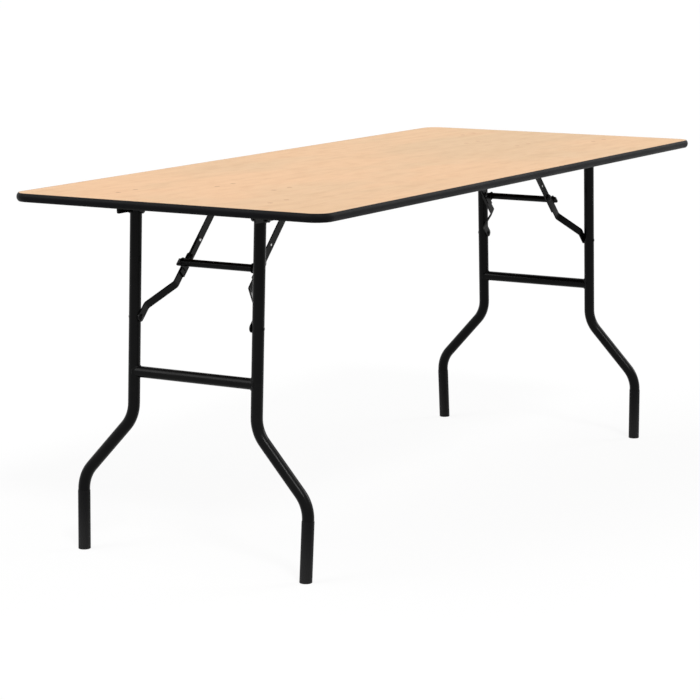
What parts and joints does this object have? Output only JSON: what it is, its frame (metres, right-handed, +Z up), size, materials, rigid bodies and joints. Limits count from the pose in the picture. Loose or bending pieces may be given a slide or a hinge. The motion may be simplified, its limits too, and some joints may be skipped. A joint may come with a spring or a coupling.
{
  "type": "folding banquet table",
  "caption": "Rectangular folding banquet table: plywood top with black edging on splayed tube legs that fold flat under it on locking strap braces.",
  "frame": {"origin": "on the floor under the middle of the top", "axes": "+X along the length towards the far end, +Y across the width to the left, +Z up"},
  "size_m": [1.8288, 0.762, 0.768],
  "materials": {
    "plywood": "clear satin lacquer",
    "wood_filler": "filler under clear lacquer",
    "edge_vinyl": "soft sheen",
    "black_powder_coat": "semi-gloss powder coat",
    "foot_plastic": "fine matt grain",
    "bright_steel": "dull nickel plated",
    "black_zinc": "black zinc plated"
  },
  "bodies": {
    "table": {"tabletop_board": "plywood", "edge_moulding": "edge_vinyl", "near_left_leg_bracket": "black_powder_coat", "near_right_leg_bracket": "black_powder_coat", "far_left_leg_bracket": "black_powder_coat", "far_right_leg_bracket": "black_powder_coat", "leg_bracket_screws": "black_zinc", "leg_bracket_nuts": "black_zinc", "leg_pivot_bolts": "black_zinc", "leg_pivot_nuts": "black_zinc", "leg_pivot_washers": "black_zinc", "near_left_brace_bracket": "black_powder_coat", "near_right_brace_bracket": "black_powder_coat", "far_left_brace_bracket": "black_powder_coat", "far_right_brace_bracket": "black_powder_coat", "brace_bracket_screws": "black_zinc", "brace_bracket_nuts": "black_zinc", "brace_bracket_rivets": "black_powder_coat", "screw_plugs": "wood_filler"},
    "near_leg_frame": {"near_left_leg": "black_powder_coat", "near_right_leg": "black_powder_coat", "near_left_foot": "foot_plastic", "near_right_foot": "foot_plastic", "near_stretcher": "black_powder_coat", "near_leg_rivets": "black_powder_coat"},
    "near_lower_brace": {"near_left_lower_strap": "black_powder_coat", "near_right_lower_strap": "black_powder_coat", "near_lower_knuckle_rivets": "black_powder_coat"},
    "near_upper_brace": {"near_left_upper_strap": "black_powder_coat", "near_right_upper_strap": "black_powder_coat", "near_left_lock_plate": "black_powder_coat", "near_right_lock_plate": "black_powder_coat", "near_release_bar": "black_powder_coat", "near_lock_rivets": "bright_steel", "near_upper_knuckle_rivets": "black_powder_coat"},
    "far_leg_frame": {"far_left_leg": "black_powder_coat", "far_right_leg": "black_powder_coat", "far_left_foot": "foot_plastic", "far_right_foot": "foot_plastic", "far_stretcher": "black_powder_coat", "far_leg_rivets": "black_powder_coat"},
    "far_lower_brace": {"far_left_lower_strap": "black_powder_coat", "far_right_lower_strap": "black_powder_coat", "far_lower_knuckle_rivets": "black_powder_coat"},
    "far_upper_brace": {"far_left_upper_strap": "black_powder_coat", "far_right_upper_strap": "black_powder_coat", "far_left_lock_plate": "black_powder_coat", "far_right_lock_plate": "black_powder_coat", "far_release_bar": "black_powder_coat", "far_lock_rivets": "bright_steel", "far_upper_knuckle_rivets": "black_powder_coat"}
  },
  "joints": [
    {"name": "near_leg_fold", "type": "hinge", "parent": "table", "child": "near_leg_frame", "pos_m": [-0.7816, 0, 0.733], "axis": [0, -1, 0], "range_deg": [0, 92.63]},
    {"name": "near_lower_brace_pivot", "type": "hinge", "parent": "near_leg_frame", "child": "near_lower_brace", "pos_m": [-0.7919, 0, 0.50904], "axis": [0, -1, 0], "range_deg": [0, 46.59]},
    {"name": "near_upper_brace_pivot", "type": "hinge", "parent": "table", "child": "near_upper_brace", "pos_m": [-0.568, 0, 0.733], "axis": [0, -1, 0], "range_deg": [-40.53, 0]},
    {"name": "far_leg_fold", "type": "hinge", "parent": "table", "child": "far_leg_frame", "pos_m": [0.7816, 0, 0.733], "axis": [0, 1, 0], "range_deg": [0, 92.63]},
    {"name": "far_lower_brace_pivot", "type": "hinge", "parent": "far_leg_frame", "child": "far_lower_brace", "pos_m": [0.7919, 0, 0.50904], "axis": [0, 1, 0], "range_deg": [0, 46.59]},
    {"name": "far_upper_brace_pivot", "type": "hinge", "parent": "table", "child": "far_upper_brace", "pos_m": [0.568, 0, 0.733], "axis": [0, 1, 0], "range_deg": [-40.53, 0]}
  ],
  "couplings": [
    {"joint": "near_lower_brace_pivot", "follows": "near_leg_fold", "ratio": 0.50272},
    {"joint": "near_upper_brace_pivot", "follows": "near_leg_fold", "ratio": -0.4373},
    {"joint": "far_lower_brace_pivot", "follows": "far_leg_fold", "ratio": 0.50272},
    {"joint": "far_upper_brace_pivot", "follows": "far_leg_fold", "ratio": -0.4373}
  ]
}
